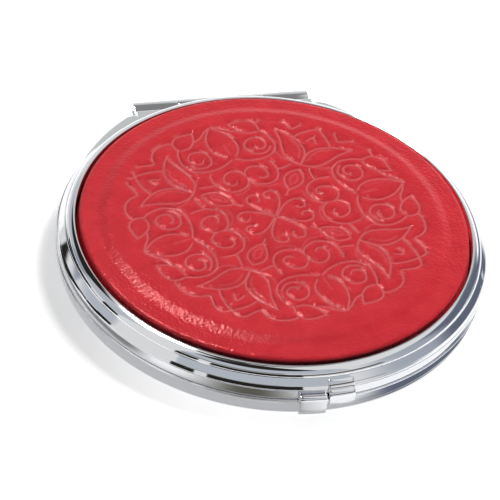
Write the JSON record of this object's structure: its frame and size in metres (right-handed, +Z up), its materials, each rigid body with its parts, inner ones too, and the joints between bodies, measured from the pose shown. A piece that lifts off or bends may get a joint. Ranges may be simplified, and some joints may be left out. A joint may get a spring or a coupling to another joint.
{
  "type": "pocket mirror",
  "caption": "Round hinged pocket mirror in a polished metal case, with a padded embossed red leather lid, a lift tab and a spring catch.",
  "frame": {"origin": "centre of the flat underside of the base shell, on the axis of the round case", "axes": "+Z up through the closed case; +Y towards the hinge; -Y towards the catch and the lift tab; +X to the right seen from the catch side"},
  "size_m": [0.0704, 0.0748, 0.0103],
  "materials": {
    "polished_shell": "mirror polished plated steel",
    "polished_fittings": "polished plated steel",
    "polished_frame": "polished plated steel",
    "steel_pin": "drawn wire",
    "mirror_glass": "silvered glass",
    "board": "plain grey board",
    "adhesive_sheet": "double-sided sheet",
    "padding": "soft felt",
    "red_leather": "fine grain, embossed"
  },
  "bodies": {
    "base": {"base_shell": "polished_shell", "base_hinge_leaf": "polished_fittings", "base_catch": "polished_fittings", "base_mirror_adhesive": "adhesive_sheet", "base_mirror_spacer": "board", "base_mirror_glass": "mirror_glass", "base_mirror_frame": "polished_frame"},
    "lid": {"lid_shell": "polished_shell", "lid_hinge_leaf": "polished_fittings", "hinge_pin": "steel_pin", "lift_tab": "polished_fittings", "lid_mirror_adhesive": "adhesive_sheet", "lid_mirror_glass": "mirror_glass", "lid_mirror_frame": "polished_frame", "insert_adhesive": "adhesive_sheet", "insert_board": "board", "leather_padding": "padding", "leather_cover": "red_leather"}
  },
  "joints": [
    {"name": "lid_hinge", "type": "hinge", "parent": "base", "child": "lid", "pos_m": [0, 0.0365, 0.0039], "axis": [-1, 0, 0], "range_deg": [0, 150]}
  ]
}
